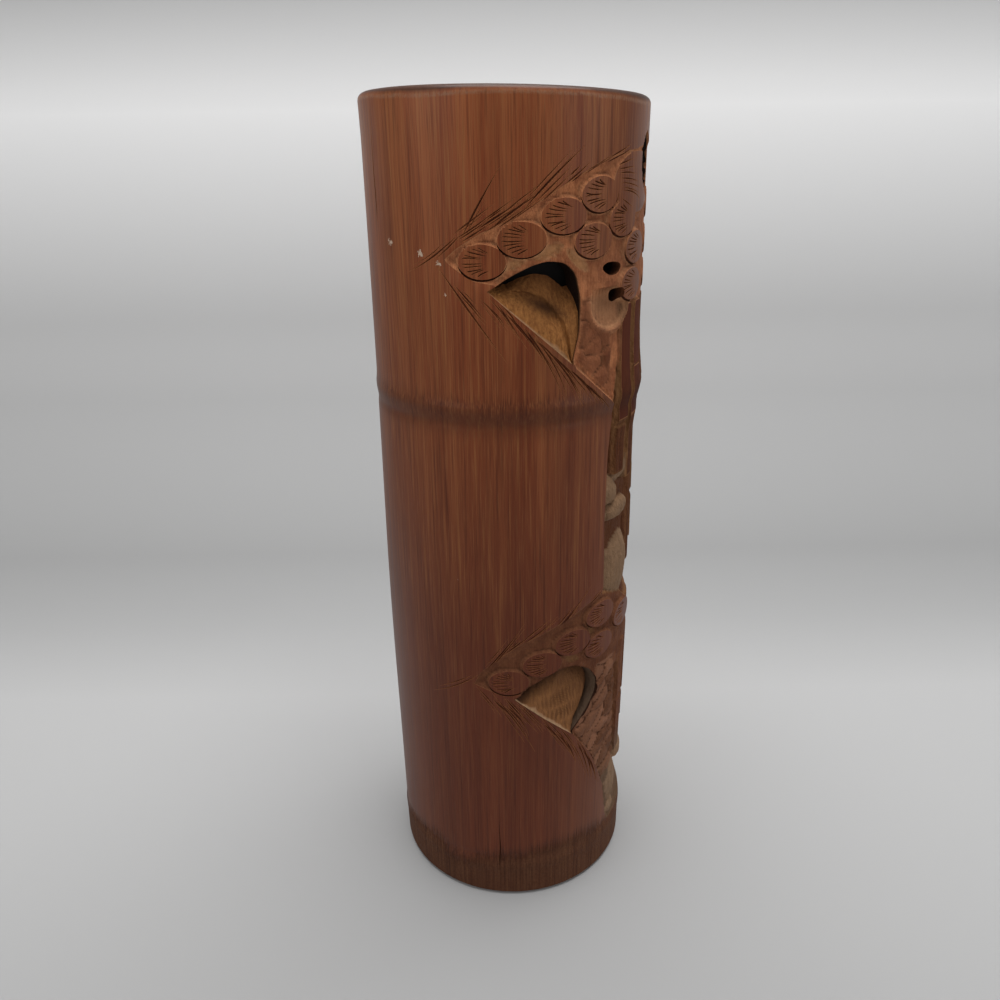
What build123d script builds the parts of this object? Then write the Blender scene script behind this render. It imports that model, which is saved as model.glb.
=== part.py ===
"""Carved bamboo vase: one length of culm with a pine relief on its front, and a metal water liner inside.

Millimetres, +Z up. The origin is the middle of the foot, on the table. The carved front faces -Y.
Angles on the culm are counted from the front, positive towards +X. The carving is the same on both sides.
"""

import os
from math import cos, radians, sin

from build123d import *

os.makedirs("parts", exist_ok=True)

# Culm
culm_height = 300.0
culm_radius = 47.5
wall = 8.0
lip = 2.4
lip_bevel = 0.7
inner_lip = 1.2
foot_chamfer = 0.8

# Nodes: the swollen rings where the septa grow across the culm
foot_node_height = 15.0
mid_node_drop = 93.0
ridge_height = 0.5
ridge_half_width = 3.5
ridge_crest = 1.6

# Septa: the foot one is the floor, the middle one is broken out to a ring
septum_edge = 6.0
septum_land = 6.0
septum_hollow = 14.0
septum_dish = 2.0
septum_seat = 2.5
ring_edge = 5.0
ring_lip = 2.5

# Water liner: a rolled tube soldered to a flat base, with its mouth folded over into a hem
liner_gap = 3.5
liner_wall = 0.8
liner_drop = 7.0
liner_base_thickness = 1.0
liner_base_flange = 0.4
hem_height = 5.0
hem_thickness = 1.4
ring_clearance = 1.0

# Carving depths, below the skin
field_depth = 1.6
panel_depth = 4.0
floor_slope = 30.0

# Outline of the carved field: angle from the front, then drop below the rim or height above the foot
field_top_drop = 15.0
crown_shoulder = (67.0, 24.5)
upper_tip = (111.0, 47.0)
upper_sill = ((96.0, 55.7), (44.0, 94.6))
lower_shoulder = ((46.0, 134.5), (70.0, 127.0))
lower_tip = (105.0, 102.0)
lower_sill = ((89.4, 96.6), (60.9, 75.5), (40.0, 42.3))
field_foot = (35.0, 23.0)

# Front panel, cut deeper than the field between the crown and the lower canopy, and again near the foot
panel_angle = 44.0
panel_top_drop = 62.0
panel_bottom = 132.0
base_panel_angle = 34.0
base_panel_top = 100.0

# Pine medallions left standing at skin level, each cut round with straight strokes of the chisel
medallion_width = 15.0
medallion_height = 10.4
medallion_stroke_count = 8
crown_medallions = (
    (99.5, 47.0),
    (84.6, 40.5),
    (69.0, 34.3),
    (52.6, 28.8),
    (38.7, 36.6),
    (56.5, 41.8),
    (28.7, 46.0),
    (31.5, 57.2),
    (20.0, 24.5),
    (10.0, 34.0),
)
crown_middle = ((0.0, 21.0), (0.0, 45.5), (0.0, 56.5))
canopy_medallions = (
    (92.0, 104.0),
    (76.8, 110.8),
    (62.0, 117.4),
    (46.6, 124.8),
    (47.2, 112.6),
    (28.8, 119.0),
    (13.0, 126.2),
    (14.6, 109.6),
)
canopy_middle = ((0.0, 117.4),)

# Stalks in the panel, and the trunks and rocks left standing
stalk_count = 7
stalk_pitch = 11.5
stalk_width = 5.0
trunk_width = 15.0
trunk_bottom = 45.0
crown_trunk = ((60.0, 60.0), (49.0, 58.0), (46.0, 90.0), (61.0, 75.0))
canopy_trunk = ((46.0, 104.0), (33.0, 102.0), (35.0, 52.0), (50.0, 72.0))
rock_width = 19.0
rock_height = 20.0
rock_stroke_count = 7
rocks_aside = ((30.0, 147.0), (23.0, 34.0))
rocks_in_front = ((0.0, 152.0), (0.0, 33.0))

# Pierced windows under the canopies: outline from the sill's outer end, over the top, to the sill's inner end
crown_window = ((97.0, 55.3), (82.0, 48.4), (71.0, 47.4), (62.5, 56.0), (64.5, 78.0))
canopy_window = ((88.5, 96.0), (66.0, 106.5), (50.0, 98.0), (60.5, 76.4))
eyelets = ((44.5, 51.0), (41.0, 60.0))
eyelet_width = 8.0
eyelet_height = 4.4
eyelet_stroke_count = 6

# Derived sizes
bore_radius = culm_radius - wall
mid_node_height = culm_height - mid_node_drop
septum_bottom = foot_node_height - septum_edge / 2
septum_top = foot_node_height + septum_edge / 2
seat_radius = bore_radius - septum_seat
land_radius = bore_radius - septum_land
hollow_radius = land_radius - septum_hollow
liner_radius = bore_radius - liner_gap
liner_foot = septum_top + liner_base_thickness
liner_top = culm_height - liner_drop
guide_radius = liner_radius + liner_base_flange + ring_clearance
stalk_top = culm_height - panel_top_drop
beyond = culm_radius + ridge_height + panel_depth
from_foot = (Align.CENTER, Align.CENTER, Align.MIN)


def below_rim(places):
    """The same places with drops below the rim turned into heights above the foot."""
    return [(angle, culm_height - drop) for angle, drop in places]


def both_sides(places):
    return [(side * angle, height) for angle, height in places for side in (-1, 1)]


def seen_from_side(angle, height):
    """Point of an outline on the YZ plane that meets the skin at this angle and height."""
    return (-culm_radius * cos(radians(angle)), height)


def facing(angle, height):
    """Plane through the axis at this height, looking out of the culm at this angle."""
    turn = radians(angle)
    return Plane(origin=(0, 0, height), x_dir=(cos(turn), sin(turn), 0), z_dir=(sin(turn), -cos(turn), 0))


def unrolled(outline, side):
    """Plane facing the middle of an outline on one side of the culm, and the corners on that plane."""
    angles = [angle for angle, _ in outline]
    middle = (min(angles) + max(angles)) / 2
    corners = [(side * culm_radius * sin(radians(angle - middle)), height) for angle, height in outline]
    return facing(side * middle, 0), corners


def oval(width, height, strokes):
    """Corners of an oval cut with straight strokes, the first corner at its right end."""
    turns = [radians(360 * i / strokes) for i in range(strokes)]
    return [(width / 2 * cos(turn), height / 2 * sin(turn)) for turn in turns]


# Standing work: everything that the carver leaves at skin level inside the field
medallions = both_sides(below_rim(crown_medallions)) + below_rim(crown_middle)
medallions += both_sides(canopy_medallions) + list(canopy_middle)
rocks = both_sides(rocks_aside) + list(rocks_in_front)
stalks = [(i - (stalk_count - 1) / 2) * stalk_pitch for i in range(stalk_count)]

with BuildPart() as standing:
    for angle, height in medallions:
        with BuildSketch(facing(angle, height)):
            Polygon(*oval(medallion_width, medallion_height, medallion_stroke_count), align=None)
        extrude(amount=beyond)
    for angle, height in rocks:
        with BuildSketch(facing(angle, height)):
            Polygon(*oval(rock_width, rock_height, rock_stroke_count), align=None)
        extrude(amount=beyond)
    for angle in stalks:
        with BuildSketch(facing(angle, (panel_bottom + stalk_top) / 2)):
            Rectangle(stalk_width, stalk_top - panel_bottom)
        extrude(amount=beyond)
    with BuildSketch(facing(0, (trunk_bottom + base_panel_top) / 2)):
        Rectangle(trunk_width, base_panel_top - trunk_bottom)
    extrude(amount=beyond)
    for outline in (below_rim(crown_trunk), canopy_trunk):
        for side in (-1, 1):
            plane, corners = unrolled(outline, side)
            with BuildSketch(plane):
                Polygon(*corners, align=None)
            extrude(amount=beyond)

# Carved field: its outline is drawn from the side and runs across the culm, down to a round floor
with BuildPart() as field:
    with BuildSketch(Plane.YZ):
        with BuildLine():
            crown_line = below_rim(((0, field_top_drop), crown_shoulder, upper_tip))
            crown = [seen_from_side(*place) for place in crown_line]
            sill = [seen_from_side(*place) for place in below_rim(upper_sill)]
            canopy = [seen_from_side(*place) for place in lower_shoulder + (lower_tip,)]
            foot_line = [seen_from_side(*place) for place in lower_sill + (field_foot,)]
            front_top = (-beyond, crown[0][1])
            front_foot = (-beyond, field_foot[1])
            Line(front_top, crown[0])
            ThreePointArc(*crown)
            Polyline(crown[-1], *sill, canopy[0])
            ThreePointArc(*canopy)
            Polyline(canopy[-1], *foot_line, front_foot, front_top)
        make_face()
    extrude(amount=beyond, both=True)
    Cylinder(culm_radius - field_depth, culm_height, align=from_foot, mode=Mode.SUBTRACT)

# Front panel: two deeper stretches of the field
panel_stretches = (
    (panel_angle, panel_bottom, stalk_top),
    (base_panel_angle, field_foot[1], base_panel_top),
)
with BuildPart() as panel:
    for angle, low, high in panel_stretches:
        edge = culm_radius * cos(radians(angle))
        with BuildSketch(Plane.YZ):
            with Locations((-(edge + beyond) / 2, (low + high) / 2)):
                Rectangle(beyond - edge, high - low)
        extrude(amount=beyond, both=True)
    Cylinder(culm_radius - panel_depth, culm_height, align=from_foot, mode=Mode.SUBTRACT)

with BuildPart() as carving:
    add(field.part)
    add(panel.part)
    add(standing.part, mode=Mode.SUBTRACT)


def window(outline, side):
    """Gouged window: its floor starts at the skin along the sill and slopes in until it pierces the wall."""
    outward, points = unrolled(outline, side)
    sill_depth = (culm_radius**2 - points[0][0] ** 2) ** 0.5
    outer_end = outward.from_local_coords(Vector(*points[0], sill_depth))
    inner_end = outward.from_local_coords(Vector(*points[-1], sill_depth))
    floor_normal = outward.z_dir.rotate(Axis(outer_end, inner_end - outer_end), side * floor_slope)
    with BuildPart() as cut:
        with BuildSketch(outward.offset(bore_radius / 2)):
            with BuildLine():
                Line(points[-1], points[0])
                Spline(*points)
            make_face()
        extrude(amount=beyond)
        split(bisect_by=Plane(origin=outer_end, z_dir=floor_normal), keep=Keep.TOP)
    return cut.part


# Carved culm
with BuildPart() as culm_wall:
    with BuildSketch(Plane.XZ):
        with BuildLine():
            Polyline((seat_radius, 0), (culm_radius - foot_chamfer, 0), (culm_radius, foot_chamfer))
            skin_start = (culm_radius, foot_chamfer)
            for node_height in (foot_node_height, mid_node_height):
                Polyline(
                    skin_start,
                    (culm_radius, node_height - ridge_half_width),
                    (culm_radius + ridge_height, node_height - ridge_crest / 2),
                    (culm_radius + ridge_height, node_height + ridge_crest / 2),
                    (culm_radius, node_height + ridge_half_width),
                )
                skin_start = (culm_radius, node_height + ridge_half_width)
            Polyline(
                skin_start,
                (culm_radius, culm_height - lip),
                (culm_radius - lip_bevel, culm_height - lip_bevel),
                (culm_radius - lip, culm_height),
                (bore_radius + inner_lip, culm_height),
                (bore_radius, culm_height - inner_lip),
                (bore_radius, septum_bottom),
                (seat_radius, septum_bottom),
                (seat_radius, 0),
            )
        make_face()
    revolve(axis=Axis.Z)
    add(carving.part, mode=Mode.SUBTRACT)
    for side in (-1, 1):
        add(window(below_rim(crown_window), side), mode=Mode.SUBTRACT)
        add(window(canopy_window, side), mode=Mode.SUBTRACT)
    for angle, height in both_sides(below_rim(eyelets)):
        with BuildSketch(facing(angle, height)):
            Polygon(*oval(eyelet_width, eyelet_height, eyelet_stroke_count), align=None)
        extrude(amount=beyond, mode=Mode.SUBTRACT)

# Foot septum: the floor, dished above, with a flat land round its edge that the liner stands on
with BuildPart() as foot_septum:
    with BuildSketch(Plane.XZ):
        with BuildLine():
            Polyline(
                (0, septum_top - septum_dish),
                (0, septum_bottom),
                (bore_radius, septum_bottom),
                (bore_radius, septum_top),
                (land_radius, septum_top),
                (hollow_radius, septum_top - septum_dish),
                close=True,
            )
        make_face()
    revolve(axis=Axis.Z)

# Middle septum: only its broken-out ring is left, which steadies the liner
with BuildPart() as mid_septum_ring:
    with BuildSketch(Plane.XZ):
        with BuildLine():
            Polyline(
                (bore_radius, mid_node_height - ring_edge / 2),
                (bore_radius, mid_node_height + ring_edge / 2),
                (guide_radius, mid_node_height + ring_lip / 2),
                (guide_radius, mid_node_height - ring_lip / 2),
                close=True,
            )
        make_face()
    revolve(axis=Axis.Z)

# Liner tube, with its mouth folded outwards into a hem
with BuildPart() as liner_tube:
    with BuildSketch(Plane.XZ):
        with Locations((liner_radius - liner_wall, liner_foot)):
            Rectangle(liner_wall, liner_top - liner_foot, align=Align.MIN)
        with Locations((liner_radius, liner_top)):
            Rectangle(hem_thickness, hem_height, align=(Align.MIN, Align.MAX))
    revolve(axis=Axis.Z)

# Liner base, soldered under the tube
with BuildPart() as liner_base:
    with BuildSketch(Plane.XY.offset(septum_top)):
        Circle(liner_radius + liner_base_flange)
    extrude(amount=liner_base_thickness)

pieces = {
    "culm_wall": culm_wall,
    "foot_septum": foot_septum,
    "mid_septum_ring": mid_septum_ring,
    "liner_tube": liner_tube,
    "liner_base": liner_base,
}
for name, piece in pieces.items():
    piece.part.label = name
    export_step(piece.part, f"parts/{name}.step")
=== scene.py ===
import bpy
import numpy as np
from mathutils import Matrix, Vector


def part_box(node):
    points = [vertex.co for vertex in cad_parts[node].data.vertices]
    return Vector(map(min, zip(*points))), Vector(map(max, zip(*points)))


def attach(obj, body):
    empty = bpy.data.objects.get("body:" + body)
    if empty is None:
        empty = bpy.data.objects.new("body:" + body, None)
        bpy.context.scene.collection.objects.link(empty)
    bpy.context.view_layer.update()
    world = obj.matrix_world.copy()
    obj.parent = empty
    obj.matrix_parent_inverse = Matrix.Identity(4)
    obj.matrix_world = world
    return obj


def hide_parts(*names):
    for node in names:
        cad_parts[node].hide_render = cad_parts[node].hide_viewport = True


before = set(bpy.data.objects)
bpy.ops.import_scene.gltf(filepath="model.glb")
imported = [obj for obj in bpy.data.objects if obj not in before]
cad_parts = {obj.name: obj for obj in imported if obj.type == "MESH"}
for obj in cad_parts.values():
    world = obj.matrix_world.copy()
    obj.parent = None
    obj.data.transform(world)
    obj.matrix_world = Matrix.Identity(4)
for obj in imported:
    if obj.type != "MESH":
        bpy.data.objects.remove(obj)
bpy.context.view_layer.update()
mm = 0.001
seed = np.random.default_rng(41)


# general shapes

def easeIn(x, low, high):  # smooth rise from 0 at low to 1 at high
    t = np.clip((x - low) / (high - low), 0.0, 1.0)
    return t * t * (3.0 - 2.0 * t)


def bell(x, width):  # smooth hump, 1 in its middle
    return np.exp(-(x / width) ** 2)


def follow(x, points):  # height of a border line at each place x
    places, heights = np.array(points, float).T
    return np.interp(x, places, heights)


def ripple(x, y, length, waves=7, key=1):  # sum of sine waves running in spread directions, about -1 to 1
    turn = np.random.default_rng(key)
    way = turn.uniform(0.0, np.pi, waves)
    pitch = 2.0 * np.pi / (length * turn.uniform(0.6, 1.6, waves))
    shift = turn.uniform(0.0, 2.0 * np.pi, waves)
    total = np.zeros(np.broadcast(x, y).shape)
    for w, p, s in zip(way, pitch, shift):
        total += np.sin((x * np.cos(w) + y * np.sin(w)) * p + s)
    return total / np.sqrt(waves * 2.0)


def gridQuads(rows, columns, wrapRows=False, wrapColumns=False):  # four corners of every cell of a grid
    i = np.arange(rows if wrapRows else rows - 1)[:, None]
    j = np.arange(columns if wrapColumns else columns - 1)[None, :]
    i2, j2 = (i + 1) % rows, (j + 1) % columns
    cells = [i * columns + j, i * columns + j2, i2 * columns + j2, i2 * columns + j]
    return np.stack([c.ravel() for c in np.broadcast_arrays(*cells)], axis=1)


def solidVolume(points, quads, tris):  # sum of the corner products of all triangles, over six
    cut = np.concatenate([quads[:, [0, 1, 2]], quads[:, [0, 2, 3]], tris])
    a, b, c = (points[cut[:, k]] for k in range(3))
    return np.einsum("ij,ij->i", a, np.cross(b, c)).sum() / 6.0


cutKinds = dict(ground=1, floor=2, stroke=3, hole=4, wall=5)  # what made a face; 0 is the plain wall


# points in mm; faces are turned outwards by the sign of the volume
def makeMesh(name, points, quads, tris=None, kind=0):
    points = np.asarray(points, float).reshape(-1, 3)
    tris = np.zeros((0, 3), int) if tris is None else tris
    if solidVolume(points, quads, tris) < 0.0:
        quads, tris = quads[:, ::-1], tris[:, ::-1]
    mesh = bpy.data.meshes.new(name)
    mesh.vertices.add(len(points))
    mesh.vertices.foreach_set("co", (points * mm).astype(np.float32).ravel())
    corners = np.concatenate([quads.ravel(), tris.ravel()]).astype(np.int32)
    starts = np.concatenate([np.arange(len(quads)) * 4,
                             len(quads) * 4 + np.arange(len(tris)) * 3]).astype(np.int32)
    mesh.loops.add(len(corners))
    mesh.loops.foreach_set("vertex_index", corners)
    mesh.polygons.add(len(starts))
    mesh.polygons.foreach_set("loop_start", starts)
    mesh.update(calc_edges=True)
    kinds = mesh.attributes.new("cutKind", "FLOAT", "FACE")
    kinds.data.foreach_set("value", np.broadcast_to(kind, len(starts)).astype(np.float32))
    piece = bpy.data.objects.new(name, mesh)
    bpy.context.scene.collection.objects.link(piece)
    return piece


# closed block between two grids of the same shape, sides joined along the borders
def slab(name, floor, roof, kind, sideKind):
    rows, columns = floor.shape[:2]
    count = rows * columns
    inner = gridQuads(rows, columns)
    outer = inner[:, ::-1] + count
    index = np.arange(count).reshape(rows, columns)
    loop = np.concatenate([index[0, :-1], index[:-1, -1], index[-1, :0:-1], index[:0:-1, 0]])
    after = np.roll(loop, -1)
    sides = np.stack([after, loop, loop + count, after + count], axis=1)
    points = np.concatenate([floor.reshape(-1, 3), roof.reshape(-1, 3)])
    kinds = np.concatenate([np.full(2 * len(inner), kind), np.full(len(sides), sideKind)])
    return makeMesh(name, points, np.concatenate([inner, outer, sides]), kind=kinds)


def bakeCuts(piece, cutters):  # takes the cutters out of the piece, then removes them
    for cutter in cutters:
        cut = piece.modifiers.new(cutter.name, "BOOLEAN")
        cut.operation, cut.solver, cut.object = "DIFFERENCE", "MANIFOLD", cutter
    bpy.context.view_layer.update()
    graph = bpy.context.evaluated_depsgraph_get()
    baked = bpy.data.meshes.new_from_object(piece.evaluated_get(graph))
    piece.modifiers.clear()
    piece.data = baked
    for cutter in cutters:
        bpy.data.objects.remove(cutter)


# the culm, one length of bamboo

culmLow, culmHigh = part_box("culm_wall")
culm = dict(
    height=(culmHigh.z - culmLow.z) / mm,
    ridge=0.5,          # node rings of the solid stand this far out
    nodeSwell=0.5,      # swelling and furrow of the rings
    frontSwell=1.1,     # the middle ring stands out more at the front
    wall=8.0,
    swell=0.7,          # the lower internode is a little fuller
    lip=2.3,            # rounding of the rim
    innerLip=1.2,
    footChamfer=1.4,
    footNode=15.0,
    midNode=207.0,
    seat=37.0,          # radius and height of the ledge under the foot diaphragm
    seatTop=12.0,
    rimTilt=(-0.35, -1.2, -1.4),  # the rim's saw cut: mean height, slope to the front, slope to the side
    columns=180,
)
culm["radius"] = (culmHigh.x - culmLow.x) / mm / 2.0 - culm["ridge"]
culm["bore"] = culm["radius"] - culm["wall"]
degree = culm["radius"] * np.pi / 180.0  # arc length of one degree on the skin


def skinRadius(turn, z):  # stem radius plus two node rings, a slow swell and faint waves round the stem
    fade = easeIn(z, 1.0, 8.0) * easeIn(z, culm["height"], culm["height"] - 10.0)
    aboveMid, aboveFoot = z - culm["midNode"], z - culm["footNode"]
    ring = bell(aboveMid, 2.4) + 0.7 * bell(aboveFoot, 2.2)
    ring -= 0.6 * bell(aboveMid + 5.0, 1.6) + 0.4 * bell(aboveFoot - 4.6, 1.6)
    full = culm["swell"] * bell(z - 120.0, 62.0)
    waves = 0.22 * np.sin(2.0 * turn + 0.8 + z / 90.0) + 0.10 * np.sin(5.0 * turn - z / 60.0)
    waves = waves + 0.03 * np.sin(11.0 * turn + z / 35.0)
    front = culm["frontSwell"] * np.clip(np.cos(turn), 0.0, 1.0) ** 3 * bell(aboveMid - 2.0, 8.5)
    knobs = culm["nodeSwell"] * ring * (0.85 + 0.15 * np.sin(9.0 * turn))
    return culm["radius"] + front + knobs + fade * (full + waves)


def onCulm(turn, radius, z):  # turn is measured from the front, which faces -Y
    return np.stack(np.broadcast_arrays(radius * np.sin(turn), -radius * np.cos(turn), z), axis=-1)


def sawCut(turn):  # the slanted edge of the rim against the solid's level top
    mean, front, across = culm["rimTilt"]
    return mean + front * np.cos(turn) + across * np.sin(turn)


def buildCulm():  # a closed outline of the wall carried once round the axis
    turn = np.arange(culm["columns"]) * 2.0 * np.pi / culm["columns"]
    top, lip, inner = culm["height"], culm["lip"], culm["innerLip"]
    ringRows = np.linspace(-8.0, 8.0, 21)
    outerZ = np.unique(np.concatenate([
        np.linspace(culm["footChamfer"], top - lip, 34), culm["midNode"] + ringRows,
        culm["footNode"] + ringRows]))
    outerZ = outerZ[(outerZ >= culm["footChamfer"]) & (outerZ <= top - lip)]
    bend = np.linspace(0.0, np.pi / 2.0, 7)[1:]
    z = np.concatenate([outerZ, top - lip + lip * np.sin(bend)])[:, None]
    shrink = np.concatenate([np.zeros(len(outerZ)), lip * (1.0 - np.cos(bend))])[:, None]
    outer = skinRadius(turn, np.minimum(z, top - lip)) - shrink
    turnIn = bend[-2::-1, None]
    zRim = top - inner + inner * np.sin(turnIn)
    rim = culm["bore"] + inner * (1.0 - np.sin(turnIn)) ** 2
    zBore = np.linspace(top - inner, culm["seatTop"], 26)[:, None]
    bore = culm["bore"] + 0.05 * np.sin(7.0 * turn) + 0.0 * zBore
    # under the bore: the seat of the diaphragm, its edge and the outer chamfer
    foot = np.array([(culm["seat"], culm["seatTop"]), (culm["seat"], 0.6), (culm["seat"] + 0.6, 0.0),
                     (culm["radius"] - culm["footChamfer"], 0.0)])
    radius = np.concatenate([outer, rim + 0.0 * turn, bore, foot[:, :1] + 0.0 * turn])
    height = np.concatenate([z, zRim, zBore, foot[:, 1:]]) + 0.0 * turn
    height = height + sawCut(turn) * easeIn(height, top - 8.0, top - inner)
    points = onCulm(turn, radius, height)
    return makeMesh("culm", points, gridQuads(points.shape[0], points.shape[1], True, True))


# the carved ground: two pine canopies, a sunk front panel with bamboo stalks, rocks at its foot

crown = dict(
    top=((0, 286), (20, 285), (44, 282.5), (55, 280.2), (67, 275.6), (78, 270.5), (89, 265.2), (100, 261.4),
         (109, 257.0), (114, 253.6)),
    sill=((0, 172), (43.4, 205.2), (63.6, 219.6), (65.4, 224.5), (82, 237.5), (95, 246.5), (103, 247.6),
          (109, 250.6), (114, 253.6)),
    needles=(
        ((109.7, 259.5), (93.7, 268.0), 4), ((100.9, 262.5), (85.5, 270.2), 4),
        ((96.8, 262.0), (76.6, 273.2), 4), ((84.3, 267.8), (61.5, 284.9), 4),
        ((69.8, 274.3), (59.2, 280.4), 2),
        ((63.3, 276.4), (47.0, 282.0), 2), ((53.8, 279.4), (36.4, 283.7), 2),
        ((107.1, 261.0), (118.9, 253.0), 1), ((109.7, 260.0), (130.3, 249.4), 1),
        ((106.8, 260.0), (92.5, 279.5), 1),
        ((117.6, 252.4), (90.8, 222.8), 1), ((110.4, 246.5), (98.0, 235.2), 2),
        ((100.4, 242.5), (90.7, 232.1), 2), ((94.8, 241.8), (85.8, 230.0), 2),
        ((85.2, 235.0), (70.8, 217.0), 2),
        ((81.5, 231.5), (66.5, 208.5), 1), ((75.4, 225.8), (60.4, 206.9), 2),
        ((66.7, 220.0), (53.1, 206.7), 2)),
    # first and last root, first and last tip, how many
    fringe=(((97.5, 242.8), (59.0, 213.8), (84.5, 227.0), (46.6, 203.8), 24),),
    discs=((99.5, 253.2), (84.8, 259.5), (69.1, 265.8), (53.4, 271.3), (39.6, 263.5), (56.0, 258.1),
           (28.7, 254.4), (31.2, 243.0)),
    middle=((0, 266.6), (0, 254.8), (0, 243.5)),
)
canopy = dict(
    top=((0, 127), (29, 134), (40, 136), (46, 134.6), (55, 132.0), (70, 126.8), (87.5, 120.2), (96, 114.6),
         (104, 108.4), (107, 103)),
    sill=((0, 21), (35.2, 21), (40, 42.3), (49.3, 61.9), (60.6, 75.2), (62.4, 80.0), (75, 90.4), (87, 98.6),
          (97, 99.6), (107, 103)),
    needles=(
        ((104.4, 107.6), (128.2, 94.7), 1), ((102.8, 108.2), (84.7, 129.1), 2),
        ((94.0, 116.0), (80.4, 125.0), 2), ((86.0, 120.4), (70.0, 130.4), 2),
        ((76.3, 120.6), (53.4, 139.0), 3), ((55.0, 130.6), (45.8, 135.2), 2),
        ((106.4, 102.0), (95.0, 89.0), 1), ((99.3, 100.0), (80.0, 72.2), 2),
        ((93.6, 97.6), (84.0, 86.0), 2), ((88.3, 95.6), (76.1, 81.0), 2), ((77.7, 88.0), (59.9, 64.0), 2),
        ((68.6, 81.2), (59.6, 68.0), 2),
        ((59.6, 73.4), (50.6, 50.2), 2), ((53.4, 67.2), (42.3, 46.8), 1)),
    fringe=(((99.0, 97.0), (88.0, 91.4), (90.0, 86.0), (79.0, 80.0), 6),
            ((76.0, 84.6), (62.0, 72.4), (68.0, 73.6), (55.4, 58.0), 8),
            ((59.4, 71.1), (50.0, 60.0), (50.3, 49.8), (43.0, 46.0), 5)),
    discs=((91.6, 104.2), (76.7, 111.0), (62.0, 117.6), (46.5, 125.4), (46.8, 112.2), (28.0, 119)),
    middle=(),
)
carving = dict(
    ground=1.15, topSlope=0.3, sillSlope=((55.0, 1.8), (75.0, 0.5)),
    panelEdge=((120, 45.5), (162, 46.4), (188, 45.4), (205, 43.0), (220, 38.8), (228, 34.0), (240, 31.0)),
    panelTop=238.0, panelBottom=((0, 118.5), (17, 120), (29, 127.5), (44, 132)), panelDepth=3.9,
    panelWall=2.2, panelSill=1.6, panelHead=0.8,  # slopes of its borders
    basePanelAngle=33.0, basePanelTop=98.0, basePanelBottom=19.0, basePanelWall=1.2, basePanelRise=0.3,
    discWide=7.3, discTall=5.1, discEdge=1.7,
    stalkPitch=11.5, stalkCount=7, stalkHalf=3.2, stalkJoint=46.0, stalkTop=236.0,
    stalkEnds=(140.0, 134.0, 172.0, 176.0), stalkSink=1.4,
    baseStalkFeet=(54.0, 46.0, 50.0), baseStalkSink=1.2, baseStalkTop=104.0, baseGroove=51.5,
    between=112.0,  # height that parts the two panels
    gone=6.0,       # depth that takes the end of a stalk away
    away=9.0,       # depth that no part of the carving reaches
    keep=-0.9,      # where the skin stays
    jointShift=19.0, sinkFrom=206.0, sinkTo=188.0, frontAngle=6.0, frontDepth=0.45,
    step=0.86, roof=5.0, reach=117.0, low=17.0, high=290.0,
)
# angle (minus: beyond the front), height, half width, half height, depth of top, shoulder, slope
rocks = (
    (29, 179, 9.0, 7.0, 1.3, 3.0, 0.5), (40, 171.5, 6.5, 7.0, 0.9, 3.0, -0.4),
    (31, 163.0, 11.0, 5.4, 0.8, 3.4, 0.9), (30, 139.0, 14.0, 16.5, 0.7, 2.6, 0.9),
    (-6, 141, 10.0, 10.0, 2.0, 1.6, -0.4), (-19, 152, 6.0, 17.0, 1.2, 1.4, 0.5),
    (-31, 143, 8.0, 12.0, 0.4, 1.5, -0.5), (-27, 160, 6.5, 9.0, 1.3, 2.4, 0.4),
    (-29, 174, 10.0, 8.0, 0.8, 2.6, 0.4), (-40, 168, 5.0, 9.0, 1.0, 2.4, -0.5),
    (27, 36, 8.5, 21.0, 0.2, 1.8, 0.3), (33, 36, 6.0, 17.0, 0.5, 1.6, -0.3),
    (29, 23, 8.5, 8.0, 0.1, 1.8, 0.0), (10, 19, 9.0, 4.5, 0.2, 2.0, 0.2),
    (-24, 44, 7.0, 20.0, 0.4, 1.6, -0.4), (-22, 33, 9.0, 13.0, 0.9, 1.7, 0.3),
    (-32, 42, 6.0, 20.0, 0.5, 1.6, 0.3), (-16, 20, 11.0, 5.0, 0.2, 1.8, 0.0),
    (0, 19, 9.0, 4.5, 0.3, 1.6, 0.0),
    (10, 44, 7.0, 5.4, 0.2, 4.0, 0.2), (-13, 44, 8.0, 6.5, 0.5, 3.0, -0.3),
    (-1, 50, 6.0, 8.0, 2.0, 2.0, 0.3), (2, 30, 9.0, 6.0, 3.0, 1.6, 0.4),
    (1, 128, 13.0, 7.0, 2.6, 1.8, 0.3), (12, 133, 7.0, 8.0, 2.4, 1.8, -0.4),
    (-13, 130, 9.0, 9.0, 1.6, 1.8, 0.4),
)
# bark in cells: corner angles and heights, size and lean of a cell, its top, unevenness, tilt, groove
trunks = (
    dict(corners=((61, 241), (46, 243), (43, 206.5), (62, 221)), long=7.4, wide=5.8, lean=0.15, top=0.75,
         uneven=0.2, tilt=0.5, groove=0.5),
    dict(corners=((47, 103), (33, 103), (28, 47), (40, 44), (60, 76)), long=9.4, wide=5.0, lean=0.62,
         top=0.75, uneven=0.35, tilt=0.6, groove=0.62),
)
bowl = dict(angle=45.0, height=238.4, wide=10.0, tall=8.8, top=243.0)
fanLobe = dict(
    angle=30.0, height=274.0, wide=14.0, tall=9.0,
    strokes=(((45.9, 279.0), (34.0, 280.9)), ((44.6, 276.8), (31.0, 276.2)), ((43.0, 274.2), (27.0, 272.0)),
             ((42.0, 271.8), (27.0, 269.0)), ((46.6, 281.0), (37.0, 283.6)), ((42.6, 269.8), (33.0, 266.4)),
             ((45.2, 278.0), (32.6, 278.6)), ((43.8, 275.4), (29.0, 274.0)),
             ((42.4, 273.0), (26.6, 270.4))))
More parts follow.
